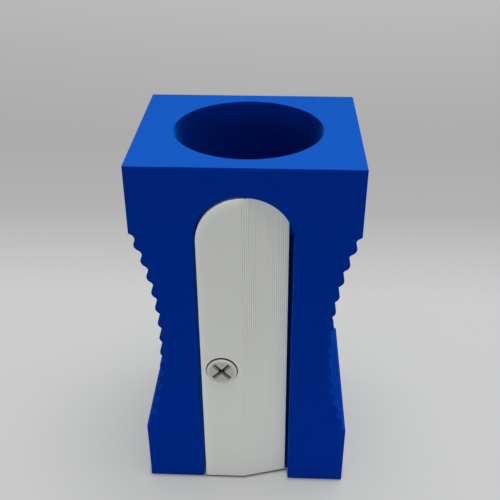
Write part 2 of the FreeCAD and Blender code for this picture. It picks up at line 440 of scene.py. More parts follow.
@dataclass(frozen=True)
class PrintedPlastic:
    """Plastic laid down in thin layers: beads along the walls and a raster of lines on the flat faces."""

    name: str
    wall: Triple
    skin: Triple
    roughness: float
    gloss: float
    sheen: Triple
    stack: LayerStack
    raster_turn: float
    drift: float = 0.1
    fuzz: float = 0.0
    fuzz_roughness: float = 0.3
    layer: float = 0.2 * MM
    line: float = 0.42 * MM
    bead: float = 0.006 * MM
    groove: float = 0.002 * MM
    streak: float = 0.01 * MM
    streak_grain: float = 25.0
    streaks_per_layer: float = 0.55
    streak_share: float = 0.45
    streak_detail: float = 3.0
    patch: float = 0.03 * MM
    patch_grain: float = 160.0
    patch_roughness: float = 0.16
    level_from: Pair = (0.8, 0.97)

    def beads(self, wires: Wiring, along: Signal, pitch: float) -> Signal:
        """Rows of round beads: the size of the sine of half a turn per pitch."""
        return abs(wires.math("SINE", along * (math.pi / pitch)))

    def tint(self, wires: Wiring, colour: Triple, share: Signal) -> Signal:
        """Let a colour drift from a little darker at a share of 0 to a little lighter at a share of 1."""
        dark, light = ([part * (1 + sign * self.drift) for part in colour] for sign in (-1, 1))
        return wires.blend(share, (*dark, 1.0), (*light, 1.0))

    def marks(self, wires: Wiring) -> Signal | None:
        """Marks of this piece alone, as a height in metres; none on plain plastic."""
        return None

    def shade(self, wires: Wiring) -> Signal | None:
        """How light this piece alone is from place to place, about 1; none on plain plastic."""
        return None

    def material(self) -> bpy.types.Material:
        """Wire the finish.

        Returns:
            The material. Walls show a bead for each layer, with layers that stand a little in or out; faces
            along the layers show the raster's lines. The colour drifts softly from patch to patch.
        """
        made = bpy.data.materials.new(self.name)
        wires = Wiring(made)
        axes, stack = wires.axes, self.stack.value
        grains = [self.streak_grain] * 3
        grains[stack] = self.streaks_per_layer / self.layer
        streaks = wires.noise(tuple(grains), self.streak_detail)
        patches = wires.noise((self.patch_grain,) * 3)
        beside = axes[self.stack.beside]
        across = axes[0] * math.cos(self.raster_turn) + beside * math.sin(self.raster_turn)
        wall = self.beads(wires, axes[stack], self.layer) * self.bead + streaks * self.streak
        face = self.beads(wires, across, self.line) * self.groove + patches * self.patch
        facing = abs(wires.parts("Normal")[stack]).span(*self.level_from, soft=True)
        height = facing * (face - wall) + wall
        marks = self.marks(wires)
        if marks is not None:
            height = height + marks
        share = streaks * self.streak_share + patches * (1 - self.streak_share)
        # faces along the layers take the skin colour; where it is lighter than the wall colour, that is painted
        # sheen of the light from above
        colour = wires.blend(facing, self.tint(wires, self.wall, share), self.tint(wires, self.skin, share))
        shade = self.shade(wires)
        if shade is not None:
            colour = wires.scaled(colour, shade)
        rough = patches * self.patch_roughness + (self.roughness - self.patch_roughness / 2)
        bump = wires.result("Bump", Height=height, Distance=1.0, Strength=1.0)
        tint = (*self.sheen, 1.0)
        shader = wires.result("BsdfPrincipled", Base_Color=colour, Roughness=rough, Normal=bump,
                              Specular_IOR_Level=self.gloss, Specular_Tint=tint, Sheen_Weight=self.fuzz,
                              Sheen_Tint=tint, Sheen_Roughness=self.fuzz_roughness)
        wires.node("OutputMaterial", Surface=shader)
        return made


@dataclass(frozen=True)
class GroovedPlastic(PrintedPlastic):
    """Printed plastic with painted light in the grooves of the ribbed waists, near their front ends."""

    waist: Waist = WAIST
    painted_groove_light: Pair = (2.8, 0.9)
    foot_share: float = 0.1
    gain_rise: Pair = (28.0 * MM, 62.0 * MM)
    gain_fall: Pair = (72.0 * MM, 86.0 * MM)
    gain_front: Pair = (-33.9 * MM, -33.5 * MM)
    gain_back: Pair = (-33.4 * MM, -24.0 * MM)
    gain_below: Pair = (0.1 * MM, 1.0 * MM)

    def shade(self, wires: Wiring) -> Signal:
        """The colour's share: painted light that grows evenly from the ribs' crests to the bottom of their
        grooves.

        The reach is the distance from the middle of the waist's arc. The gain of each side fades towards
        the foot, above the waist and away from the front. The front itself, and what lies deeper in the block
        than the grooves, keep their colour.

        Args:
            wires: the material's wiring.

        Returns:
            The colour's share.
        """
        x, y, z = wires.axes
        waist = self.waist
        bottom = waist.radius + waist.rib_depth
        deeper = (bottom + depth for depth in self.gain_below)
        reach = wires.reach(waist.centre - abs(x), z - waist.height)
        # painted light in the grooves, stronger on the left side than on the right
        side = x.span(-MM, MM, *self.painted_groove_light)
        height = z.span(*self.gain_rise, self.foot_share) * z.span(*self.gain_fall, 1.0, 0.0)
        depth = reach.span(waist.radius, bottom) * reach.span(*deeper, 1.0, 0.0)
        front = y.span(*self.gain_front) * y.span(*self.gain_back, 1.0, 0.0)
        return side * height * depth * front + 1.0


@dataclass(frozen=True)
class TerracedPlastic(PrintedPlastic):
    """Printed plastic whose sloping half is a flight of terraces, with dots along the first of them."""

    seat: BladeSeat = SEAT
    first: float = -0.5 * MM
    pitch: float = 0.753 * MM
    painted_line_shade: float = 0.26
    line_start: Pair = (-0.9 * MM, -0.8 * MM)
    line_columns: Pair = (7.0 * MM, 11.0 * MM)
    line_heights: Pair = (25.0 * MM, 90.0 * MM)
    left_share: float = 0.3
    foot_share: float = 0.15
    dot: float = 1.1 * MM
    dot_slant: float = 0.42
    dot_depth: float = 0.03 * MM
    dot_shade: float = 0.28
    dot_mean: float = 0.1
    dot_start: Pair = (-1.2 * MM, -0.7 * MM)
    dot_columns: Pair = (2.0 * MM, 9.0 * MM)
    dot_heights: Pair = (45.0 * MM, 85.0 * MM)
    dot_foot_share: float = 0.25
    painted_bevel_light: Pair = (0.045, 0.085)
    bevel_columns: Pair = (8.0 * MM, 15.5 * MM)
    painted_rim_highlight: Pair = (0.06, 0.24)
    rim_band: Pair = (12.0 * MM, 16.6 * MM)
    rim_end: Pair = (-2.0 * MM, 1.5 * MM)

    def columns(self, wires: Wiring) -> tuple[Signal, Signal]:
        """Find the terraces' edges in the plate's own frame, which is swung and narrows upwards.

        Args:
            wires: the material's wiring.

        Returns:
            X in that frame, and a ridge at each terrace's edge.
        """
        x, _, z = wires.axes
        seat = self.seat
        turned = x + (z - seat.screw[1]) * seat.swing
        across = turned * ((z - seat.taper_foot) * seat.taper + 1.0)
        return across, wires.ridge((across - self.first) * (2 * math.pi / self.pitch))

    def shade(self, wires: Wiring) -> Signal:
        """Painted shade on the terraces' edges, most at the upper right; painted light grows rightwards on the
        bevel.

        Args:
            wires: the material's wiring.

        Returns:
            The colour's share.
        """
        across, column = self.columns(wires)
        start = across.span(*self.line_start)
        level = wires.axes[2].span(*self.line_heights, self.foot_share, soft=True)
        # painted shade in the creases along the terraces' edges
        depth = across.span(*self.line_columns, self.left_share, soft=True) * start * level * self.painted_line_shade
        lines = (wires.RIDGE_MEAN - column) * depth + 1.0
        # painted light on the bevel, growing to the right, against the shade of the channel's right wall
        gain = start * across.span(*self.bevel_columns, *self.painted_bevel_light, soft=True)
        return lines * (gain + self.rim(wires, across) - self.dots(wires) * self.dot_shade)

    def rim(self, wires: Wiring, across: Signal) -> Signal:
        """The flat half's share: a painted highlight towards its rim, most at the crown of the arch.

        The reach is the distance from the middle line, and above the springing of the arch that from the
        arch's middle. The gain grows with the square of the reach's share of the band along the rim.

        Args:
            wires: the material's wiring.
            across: X in the plate's own frame.

        Returns:
            The colour's share, which also makes up for the dots' mean.
        """
        above = (wires.axes[2] - self.seat.arch).at_least(0.0)
        near = wires.reach(across, above).span(*self.rim_band)
        most = above.span(0.0, self.rim_band[1], *self.painted_rim_highlight)
        # painted highlight along the rim
        gain = near * near * across.span(*self.rim_end, 1.0, 0.0) * most
        return gain + (1.0 + self.dot_mean * self.dot_shade)

    def marks(self, wires: Wiring) -> Signal:
        """The dots' height: they are sunk into the face."""
        return self.dots(wires) * -self.dot_depth

    def dots(self, wires: Wiring) -> Signal:
        """Dots along the terraces' edges, which fade out to the right and towards the foot.

        A dot lies where a ridge along the terraces and a slanting ridge across the plate are both high.

        Args:
            wires: the material's wiring.

        Returns:
            The dots' share, from 0 to 1.
        """
        across, column = self.columns(wires)
        height = wires.axes[2]
        rows = across * (2 * math.pi * self.dot_slant / self.pitch) + height * (2 * math.pi / self.dot)
        fade = across.span(*self.dot_start, soft=True) * across.span(*self.dot_columns, 1.0, 0.0, soft=True)
        level = height.span(*self.dot_heights, self.dot_foot_share, soft=True)
        return column * wires.ridge(rows) * fade * level


@dataclass(frozen=True)
class RecessedPlastic(PrintedPlastic):
    """Printed plastic that is darker inside its rim, with painted shade in its slots and round its seat."""

    seat: BladeSeat = SEAT
    painted_shade_start: Pair = (-34.9 * MM, -34.15 * MM)
    painted_shade_radius: Pair = (4.9 * MM, 5.6 * MM)
    painted_shade_end: Pair = (-32.3 * MM, -33.3 * MM)
    painted_shade_fade: float = 0.6 * MM
    darkest: float = 0.07
    darker_disc_radius: Pair = (4.2 * MM, 5.6 * MM)
    darker_disc: float = 0.7

    def shade(self, wires: Wiring) -> Signal:
        """The colour's share: a darker disc about the screw's axis, times a painted shade that darkens with
        depth.

        The painted shade begins below the front and ends at the slots' floor or, on the outside, a little below
        the seat's mouth; what lies deeper keeps its colour.

        Args:
            wires: the material's wiring.

        Returns:
            The colour's share.
        """
        x, y, z = wires.axes
        across, up = self.seat.screw
        reach = wires.reach(x - across, z - (up - self.seat.head_drop))
        # painted shade in the slots and in the gap round the head, darkest deep below the front
        deep = y.span(*self.painted_shade_start, 1.0, self.darkest)
        end = reach.span(*self.painted_shade_radius, *self.painted_shade_end)
        past = (y - end).span(0.0, self.painted_shade_fade)
        painted_shade = past * (1.0 - deep) + deep
        return painted_shade * reach.span(*self.darker_disc_radius, self.darker_disc, soft=True)


# on the body the skin colour, lighter and greener than the wall colour, is painted sheen of the light from
# above on its top
BODY_BLUE = GroovedPlastic("body_blue", wall=(0.0005, 0.0295, 0.315), skin=(0.007, 0.0745, 0.4),
                           roughness=0.42, gloss=0.0, sheen=(0.01, 0.22, 0.85), stack=LayerStack.UP,
                           raster_turn=math.radians(45), fuzz=0.9)
BLADE_WHITE = TerracedPlastic("blade_white", wall=(0.725, 0.738, 0.715), skin=(0.725, 0.738, 0.715),
                              roughness=0.45, gloss=0.3, sheen=(1.0, 1.0, 1.0), stack=LayerStack.OUTWARD,
                              raster_turn=0.0, drift=0.025)
SCREW_GREY = RecessedPlastic("screw_grey", wall=(0.66, 0.67, 0.6), skin=(0.66, 0.67, 0.6),
                             roughness=0.22, gloss=0.7, sheen=(1.0, 1.0, 1.0), stack=LayerStack.OUTWARD,
                             raster_turn=math.radians(30), drift=0.05)


def settle(piece: bpy.types.Object, body: str, node: str, finish: PrintedPlastic) -> None:
    """Dress a piece and let it stand for a node.

    Args:
        piece: the finished object.
        body: the body that it moves with.
        node: the node that it replaces.
        finish: its plastic, named as the record's slot.
    """
    piece.data.materials.append(finish.material())
    flats = piece.modifiers.new("flat_faces", "WEIGHTED_NORMAL")
    flats.keep_sharp = True
    flats.weight = FLAT_WEIGHT
    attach(piece, body)
    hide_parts(node)
    log.info("%s: %d faces, on %s", piece.name, len(piece.data.polygons), body)


@dataclass
class HolderBlock:
    """The block: ribbed waists at both sides, an arched channel in front and a round well from the top."""

    waist: Waist = WAIST
    seat: BladeSeat = SEAT
    half_width: float = 40.0 * MM
    half_depth: float = 34.0 * MM
    height: float = 143.0 * MM
    well_radius: float = 27.0 * MM
    well_floor: float = 10.0 * MM
    channel_half: float = 17.45 * MM
    channel_arch: float = 115.05 * MM
    channel_floor: float = 28.2 * MM
    slit_left: float = 15.3 * MM
    slit_depth: float = 4.6 * MM
    slit_foot: float = 2.5 * MM
    slit_sill: float = 0.02 * MM
    socket_depth: float = 1.2 * MM
    socket_window: Pair = (5.0 * MM, 4.5 * MM)
    corner_round: float = 0.5 * MM
    rim_round: float = 0.3 * MM
    arris_round: Pair = (0.65 * MM, 0.3 * MM)
    left_ease: float = 1.014
    right_taper: float = 0.19
    inner_round: float = 0.15 * MM
    round_shares: Pair = (0.45, 0.3)
    edge_round: float = 0.35 * MM
    foot_rows: tuple[float, float, int] = (1.0 * MM, 26.0 * MM, 9)
    head_rows: tuple[float, float, int] = (119.0 * MM, 142.0 * MM, 8)
    crest_points: int = 8
    groove_points: int = 12
    arch_points: int = 40
    bend_points: int = 5
    socket_rings: int = 3
    top_shares: tuple[float, ...] = (0.04, 0.3, 0.6, 0.9)
    well_rows: int = 11
    floor_rings: int = 5
    crease_angle: float = 32.0

    def rib_line(self) -> np.ndarray:
        """The waist's outline on the right.

        Seen from the arc's centre, each pitch is half a crest, a groove and half a crest: three circle arcs
        of one radius that touch where the line between their centres is halved. Twice that radius is the
        distance between the centres, which makes it the root of a quadratic. The pitch is turned about the
        arc's centre once for each rib.

        Returns:
            Half widths and heights, from the lowest point to the highest.
        """
        waist = self.waist
        half = waist.rib_angle / 2
        chord = 2 * (1 - math.cos(half))
        slope = waist.rib_depth * (4 - chord)
        rest = waist.rib_depth ** 2 + chord * waist.radius * (waist.radius + waist.rib_depth)
        curve = (math.sqrt(slope ** 2 + 4 * chord * rest) - slope) / (2 * chord)
        crest = (waist.radius + curve) * np.array([math.cos(half), -math.sin(half)])
        groove = np.array([waist.radius + waist.rib_depth - curve, 0.0])
        touch = math.atan2(groove[1] - crest[1], groove[0] - crest[0])
        rise = np.linspace(math.pi - half, touch, self.crest_points)[:-1]
        dip = np.linspace(touch - math.pi, math.pi - touch, self.groove_points)
        lower = crest + curve * unit_circle(rise)
        upper = lower[:0:-1] * np.array([1.0, -1.0])
        pitch = np.concatenate([lower, groove + curve * unit_circle(dip), upper])
        turns = waist.rib_angle * (np.arange(waist.ribs) - (waist.ribs - 1) / 2)
        cos, sin = np.cos(turns)[:, None], np.sin(turns)[:, None]
        reach = pitch[:, 0] * cos - pitch[:, 1] * sin
        lift = pitch[:, 0] * sin + pitch[:, 1] * cos
        return np.stack([waist.centre - reach.ravel(), waist.height + lift.ravel()], -1)

    def levels(self) -> tuple[np.ndarray, np.ndarray, np.ndarray, np.ndarray, np.ndarray]:
        """The heights at which the outline is drawn.

        Returns:
            Heights, half widths, the channel's reaches to the left and to the right and the insets that
            round the lowest and highest edge. Above the springing of its arch the channel follows a circle on
            each side, and it has no width from the circle's crown on; below, its right side narrows upwards.
        """
        line = self.rib_line()
        inside = line[:, 0] < self.half_width
        first, last = np.flatnonzero(inside)[[0, -1]]
        ends = [np.interp(self.half_width, line[[last, last + 1], 0], line[[last, last + 1], 1]),
                np.interp(self.half_width, line[[first, first - 1], 0], line[[first, first - 1], 1])]
        shares = np.array([1.0, 1 - self.right_taper * self.channel_arch])
        rise = self.channel_half * shares[:, None] * np.sin(quarter(self.arch_points))
        arch = (self.channel_arch + rise).ravel()
        turn = quarter(self.bend_points)
        foot = self.edge_round * (1 - np.cos(turn))
        head = self.height - self.edge_round * (1 - np.sin(turn))
        plain = np.concatenate([np.linspace(*self.foot_rows), np.linspace(*self.head_rows)])
        over = [self.slit_foot, self.slit_foot + self.slit_sill, self.channel_arch + self.slit_sill]
        heights = np.unique(np.concatenate([line[inside, 1], ends, arch, over, foot, head, plain]).round(8))
        width = np.minimum(np.interp(heights, line[:, 1], line[:, 0]), self.half_width)
        width[(heights <= min(ends)) | (heights >= max(ends))] = self.half_width
        above = np.clip(heights - self.channel_arch, 0.0, self.channel_half)
        left = self.left_ease * leg(self.channel_half, above)
        narrow = self.channel_half * (1 - self.right_taper * np.minimum(heights, self.channel_arch))
        near = np.maximum(self.edge_round - np.minimum(heights, self.height - heights), 0.0)
        return heights, width, left, leg(narrow, above), setback(self.edge_round, near)

    def outline(self, width: np.ndarray, left: np.ndarray, right: np.ndarray, inset: np.ndarray,
                slit: np.ndarray) -> tuple[np.ndarray, int]:
        """The outline at each height, anticlockwise seen from above, from the front right to the channel.

        A corner at P between two square sides is a quarter circle of radius r about P - r a + r b, where a
        and b are the directions before and after it. Straight sides are divided evenly.

        Args:
            width: half widths, one for each height.
            left: how far the channel reaches to the left.
            right: how far it reaches to the right.
            inset: how far each outline draws in.
            slit: how deep the slit at the channel's right is sunk below its floor.

        Returns:
            Points as heights, places along the outline and XY, and the channel's first place among them.
        """
        side, front = width - inset, self.half_depth - inset
        back = np.where(left > 0, self.channel_floor - inset, front)
        left, right = (np.where(reach > 0, reach + inset, 0.0) for reach in (left, right))
        outer = np.full_like(side, self.corner_round)
        wide, narrow = self.round_shares
        rims = [np.minimum(most, wide * reach) for most, reach in zip(self.arris_round, (left, right))]
        inner = [np.minimum(self.inner_round, narrow * reach) for reach in (left, right)]
        lip = np.minimum(inner[1], narrow * slit)
        edge, deep = np.minimum(self.slit_left - inset, right - inner[1]), back - slit
        east, north, west, south = np.array([[1, 0], [0, 1], [-1, 0], [0, -1]], float)
        # Each corner: place, directions before and after it, radius, and points on the side that follows.
        corners = [(right, -front, south, east, rims[1], 14), (side, -front, east, north, outer, 26),
                   (side, front, north, west, outer, 30), (-side, front, west, south, outer, 26),
                   (-side, -front, south, east, outer, 14), (-left, -front, east, north, rims[0], 3),
                   (-left, -back, north, east, inner[0], 22), (edge, -back, east, north, lip, 3),
                   (edge, -deep, north, east, lip, 2), (right, -deep, east, south, inner[1], 4)]
        channel_corner = 5
        turn = quarter(self.bend_points)[None, :, None]
        bends = []
        for x, y, before, after, radius, _ in corners:
            reach = radius[:, None, None]
            centre = np.stack([x, y], -1)[:, None] + reach * (after - before)
            bends.append(centre + reach * (before * np.sin(turn) - after * np.cos(turn)))
        parts = []
        for bend, following, corner in zip(bends, bends[1:] + bends[:1], corners):
            share = np.linspace(0.0, 1.0, corner[-1] + 2)[1:-1][None, :, None]
            parts += [bend, bend[:, -1:] * (1 - share) + following[:, :1] * share]
        ring = np.concatenate(parts[1:] + parts[:1], axis=1)
        return ring, sum(part.shape[1] for part in parts[1:2 * channel_corner])

    def build(self) -> bpy.types.Object:
        """Make the block's shell: walls, top, well, underside and the screw's socket.

        Returns:
            The piece.
        """
        shell = Shell("ribbed_block")
        heights, width, left, right, inset = self.levels()
        middle = self.slit_sill / 2
        sunk = (heights > self.slit_foot + middle) & (heights < self.channel_arch + middle)
        slit = np.where(sunk, self.slit_depth, 0.0)
        ring, first = self.outline(width, left, right, inset, slit)
        walls = shell.add(lifted(ring, heights))
        in_channel = np.arange(ring.shape[1]) >= first
        in_channel[-1] = False
        keep = ~in_channel[None, :] | (heights[:-1, None] < self.channel_arch + self.channel_half - WELD)
        floor_columns = np.flatnonzero(np.abs(ring[0, :, 1] + self.channel_floor - inset[0]) < WELD)
        across, up = self.seat.screw
        spots = ring[np.searchsorted(heights, up), floor_columns, 0]
        near = floor_columns[np.abs(spots - across) < self.socket_window[0]]
        level = np.flatnonzero(np.abs(heights - up) < self.socket_window[1])
        hole_rows, hole_columns = slice(level[0], level[-1] + 1), slice(near[0], near[-1] + 1)
        keep[level[0]:level[-1], near[0]:near[-1]] = False
        shell.skin(walls, wrap=True, keep=keep)
        shell.cap(walls[0, ::-1])
        self.sink_socket(shell, walls, ring, heights, hole_rows, hole_columns)
        self.open_well(shell, walls[-1], ring[-1], ~in_channel)
        return shell.build(self.crease_angle)

    def sink_socket(self, shell: Shell, walls: np.ndarray, ring: np.ndarray, heights: np.ndarray,
                    rows: slice, columns: slice) -> None:
        """Sink the screw's blind socket into the channel's floor.

        A rectangle of the floor blends into the socket's circle, which then runs back and closes at a point.

        Args:
            shell: the block's shell.
            walls: the point numbers of its walls.
            ring: the walls' outlines.
            heights: the walls' heights.
            rows: the rectangle's rows.
            columns: the rectangle's columns.
        """
        rim = window_rim(walls, rows, columns)
        row, column = np.divmod(rim, walls.shape[1])
        border = np.stack([ring[row, column, 0], ring[row, column, 1], heights[row]], -1)
        across, up = self.seat.screw
        turn = np.arctan2(border[:, 2] - up, border[:, 0] - across)
        circle = self.seat.hole_radius * upright_circle(turn)
        middle = np.array([across, -self.channel_floor, up])
        rings = ring_blend(border, middle + circle, np.linspace(0.0, 1.0, self.socket_rings + 1)[1:])
        back = middle + np.array([0.0, self.socket_depth, 0.0])
        bottom = back + np.linspace(1.0, 0.0, self.socket_rings)[:, None, None] * circle
        shell.skin(np.concatenate([rim[None], shell.add(np.concatenate([rings, bottom]))]), wrap=True)

    def open_well(self, shell: Shell, rim: np.ndarray, edge: np.ndarray, keep: np.ndarray) -> None:
        """Close the top round the well's mouth and line the well.

        The top's rings blend from the block's edge to a circle at the same angles. The mouth is rounded by a
        quarter circle, and the wall runs down to a floor that closes at its middle.

        Args:
            shell: the block's shell.
            rim: the point numbers of the walls' highest outline.
            edge: that outline's points.
            keep: which of its columns the top has.
        """
        turn = np.arctan2(edge[:, 1], edge[:, 0])
        radius, mouth = self.well_radius, self.rim_round
        bend = quarter(self.bend_points)
        wall = np.linspace(self.height - mouth, self.well_floor, self.well_rows + 1)[1:]
        disc = radius * np.linspace(1.0, 0.0, self.floor_rings + 1)[1:]
        bottom = np.full(self.floor_rings, self.well_floor)
        reach = np.concatenate([radius + mouth * (1 - np.sin(bend)), np.full(len(wall), radius), disc])
        level = np.concatenate([self.height - mouth * (1 - np.cos(bend)), wall, bottom])
        lining = lifted(reach[:, None, None] * unit_circle(turn), level)
        flat = lifted(edge[None], np.array([self.height]))[0]
        top = ring_blend(flat, lining[0], np.array(self.top_shares))
        numbers = np.concatenate([rim[None], shell.add(np.concatenate([top, lining]))])
        shell.skin(numbers, wrap=True, keep=np.broadcast_to(keep, (len(numbers) - 1, len(keep))))


@dataclass
class BladePlate:
    """The blade plate: flat on its left half, falling in fine printed steps to an edge on its right."""

    seat: BladeSeat = SEAT
    half_width: float = 16.92 * MM
    foot: float = 0.85 * MM
    back: float = 28.2 * MM
    face: float = 34.35 * MM
    drop: float = 4.65 * MM
    steps: int = 22
    step_round: float = 0.1 * MM
    furrow: float = 0.03 * MM
    nose_shares: tuple[float, ...] = (1.0, 0.6, 0.3, 0.08, 0.0)
    furrow_steps: Triple = (0.01 * MM, 0.06 * MM, 0.14 * MM)
    furrow_shares: Triple = (1.0, 0.8, 0.0)
    rim_round: float = 0.12 * MM
    rim_shares: tuple[float, ...] = (0.0, 0.07, 0.25, 0.55, 1.0)
    seat_radius: float = 6.15 * MM
    seat_lip: float = 0.15 * MM
    seat_window: Pair = (7.2 * MM, 7.5 * MM)
    bore_shares: Pair = (0.4, 0.8)
    level_rows: tuple[float, float, int] = (3.0 * MM, 110.0 * MM, 60)
    arch_rows: int = 12
    arc_columns: int = 44
    lip_points: int = 4
    crease_angle: float = 36.0

    def columns(self) -> tuple[np.ndarray, np.ndarray]:
        """The plate's columns from left to right.

        Left of the crease they follow the arch's circle at even angles. Right of it each step has a tread
        that ends in a rounded nose and a riser with a furrow at its foot: at a distance d before the riser
        the face has dropped by r - sqrt(r^2 - (r - d)^2), where r is the rounding, and past it by one layer
        and the furrow, which closes along a straight slope.

        Returns:
            The columns' X, and how far the face lies in front of the block's middle there.
        """
        turn = np.linspace(0.0, math.acos(-self.seat.crease / self.half_width), self.arc_columns)
        left = -self.half_width * np.cos(turn)
        tread = (self.seat.right - self.seat.crease) / self.steps
        layer = self.drop / self.steps
        risers = self.seat.crease + tread * (np.arange(self.steps) + 0.5)
        ahead = self.step_round * np.array(self.nose_shares)
        nose = setback(self.step_round, self.step_round - ahead)
        across = np.concatenate([-ahead, self.furrow_steps])
        fall = np.concatenate([nose, layer + self.furrow * np.array(self.furrow_shares)])
        x = np.concatenate([left, (risers[:, None] + across).ravel(), [self.seat.right]])
        level = self.face - layer * np.arange(self.steps)[:, None] - fall
        face = np.concatenate([np.full(len(left), self.face), level.ravel(), [level[-1, -1]]])
        return x, face

    def grid(self) -> tuple[np.ndarray, np.ndarray]:
        """The plate's front and back.

        Rows are level up to the arch and then blend into it. The front draws back near the rim: at a distance
        d from it, less than the rounding r, by r - sqrt(r^2 - (r - d)^2).

        Returns:
            The front's points and the back's, as rows, columns and XYZ.
        """
        x, face = self.columns()
        near = self.rim_round * np.array(self.rim_shares)
        level = np.concatenate([self.foot + near, np.linspace(*self.level_rows)])
        crown = self.seat.arch + leg(self.half_width, x)
        share = np.linspace(0.0, 1.0, self.arch_rows + 1)[1:]
        lowest = level[-1]
        arched = lowest + share[:, None] * (crown - self.rim_round - lowest)
        z = np.concatenate([np.broadcast_to(level[:, None], (len(level), len(x))), arched,
                            crown - near[-2::-1, None]])
        x = np.broadcast_to(x, z.shape)
        beyond = self.half_width - np.hypot(x, z - self.seat.arch)
        distance = np.minimum(z - self.foot, np.where(z > self.seat.arch, beyond, x + self.half_width))
        short = np.clip(self.rim_round - distance, 0.0, self.rim_round)
        front = np.stack([x, setback(self.rim_round, short) - face, z], -1)
        return front, np.stack([x, np.full_like(z, -self.back), z], -1)

    def swung(self, points: np.ndarray) -> np.ndarray:
        """Narrow the plate evenly upwards and turn it about the screw's axis, as it has swung in its channel.

        Args:
            points: points of the straight plate, with XYZ last.

        Returns:
            The points' places in the block.
        """
        x, y, z = np.moveaxis(points, -1, 0)
        narrow = 1 - self.seat.taper * (z - self.seat.taper_foot)
        across, up = x * narrow - self.seat.screw[0], z - self.seat.screw[1]
        cos, sin = math.cos(self.seat.swing), math.sin(self.seat.swing)
        return np.stack([self.seat.screw[0] + across * cos - up * sin, y,
                         self.seat.screw[1] + across * sin + up * cos], -1)

    def build(self) -> bpy.types.Object:
        """Make the plate's shell: front, back, rim and the screw's counterbored hole.

        Returns:
            The piece.
        """
        shell = Shell("stepped_blade")
        front, back = self.grid()
        faces = [shell.add(self.swung(front)), shell.add(self.swung(back))]
        x, z = front[0, :, 0], front[:, 0, 2]
        columns = np.flatnonzero(np.abs(x - self.seat.screw[0]) < self.seat_window[0])
        rows = np.flatnonzero(np.abs(z - self.seat.screw[1]) < self.seat_window[1])
        keep = np.ones((front.shape[0] - 1, front.shape[1] - 1), bool)
        keep[rows[0]:rows[-1], columns[0]:columns[-1]] = False
        for face in faces:
            shell.skin(face, keep=keep)
        whole = slice(None), slice(None)
        shell.skin(np.stack([window_rim(face, *whole) for face in faces]), wrap=True)
        window = slice(rows[0], rows[-1] + 1), slice(columns[0], columns[-1] + 1)
        rims = [window_rim(face, *window) for face in faces]
        points = np.concatenate([front.reshape(-1, 3), back.reshape(-1, 3)])
        bore = self.bore(points[rims[0]], points[rims[1]])
        shell.skin(np.concatenate([rims[0][None], shell.add(self.swung(bore)), rims[1][None]]), wrap=True)
        return shell.build(self.crease_angle)

    def bore(self, front: np.ndarray, back: np.ndarray) -> np.ndarray:
        """The counterbored hole, as circles from a rectangle of the front to the same rectangle of the back.

        Args:
            front: the rectangle's points on the front.
            back: its points on the back.

        Returns:
            The circles in between as a grid.
        """
        across, up = self.seat.screw
        turn = np.arctan2(front[:, 2] - up, front[:, 0] - across)
        bend = quarter(self.lip_points)
        lip = self.seat_lip
        reach = np.concatenate([self.seat_radius + lip * (1 - np.sin(bend)), [self.seat_radius],
                                [self.seat.hole_radius, self.seat.hole_radius]])
        level = np.concatenate([self.face - lip * (1 - np.cos(bend)), [self.seat.plane],
                                [self.seat.plane, self.back]])
        middle = np.stack([np.full_like(level, across), -level, np.full_like(level, up)], -1)
        circles = middle[:, None] + reach[:, None, None] * upright_circle(turn)
        shares = np.array(self.bore_shares)
        inward = ring_blend(front, circles[0], shares)
        outward = ring_blend(circles[-1], back, shares)
        return np.concatenate([inward, circles, outward])


